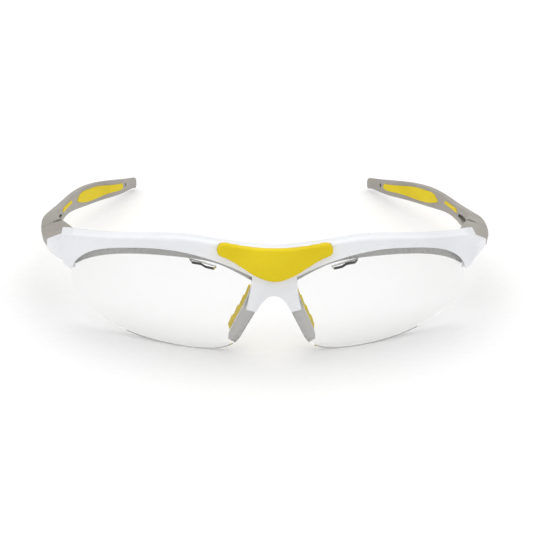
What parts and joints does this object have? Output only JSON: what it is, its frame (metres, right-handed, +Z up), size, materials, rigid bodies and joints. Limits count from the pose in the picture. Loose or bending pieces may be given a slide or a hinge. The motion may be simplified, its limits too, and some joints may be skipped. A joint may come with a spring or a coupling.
{
  "type": "sports protective goggles",
  "caption": "Half-rim sports protective goggles with two curved clear lenses, soft brow and nose pads, and two folding temples with rubber grips and cord eyelets.",
  "frame": {"origin": "middle of the base of the overall box, on the surface that the lenses and the temple tips stand on", "axes": "+X towards the wearer's left, +Y rearwards from the lenses to the temple tips, +Z up"},
  "size_m": [0.1504, 0.16, 0.0392],
  "materials": {
    "white_plastic": "smooth, softly glossy",
    "grey_plastic": "satin grey",
    "grey_rim": "satin light grey",
    "yellow_rubber": "soft, matte",
    "clear_lens": "clear, polished",
    "steel": "plain"
  },
  "bodies": {
    "front": {"front_frame": "white_plastic", "brow_pad": "yellow_rubber", "nose_carrier": "grey_rim", "lens_left": "clear_lens", "lens_right": "clear_lens", "rear_rim_left": "grey_rim", "rear_rim_right": "grey_rim", "nose_pad_left": "yellow_rubber", "nose_pad_right": "yellow_rubber", "end_block_left": "grey_plastic", "end_block_right": "grey_plastic", "block_screw_left": "steel", "block_screw_right": "steel", "hinge_screw_left": "steel", "hinge_screw_right": "steel"},
    "temple_arm_left": {"temple_left": "grey_plastic", "tip_grip_left": "yellow_rubber", "side_grip_left": "yellow_rubber"},
    "temple_arm_right": {"temple_right": "grey_plastic", "tip_grip_right": "yellow_rubber", "side_grip_right": "yellow_rubber"}
  },
  "joints": [
    {"name": "fold_left", "type": "hinge", "parent": "front", "child": "temple_arm_left", "pos_m": [0.0684, -0.0261, 0.02172], "axis": [0, 0.1908, 0.9816], "range_deg": [0, 92]},
    {"name": "fold_right", "type": "hinge", "parent": "front", "child": "temple_arm_right", "pos_m": [-0.0684, -0.0261, 0.02172], "axis": [0, -0.1908, -0.9816], "range_deg": [0, 73]}
  ]
}
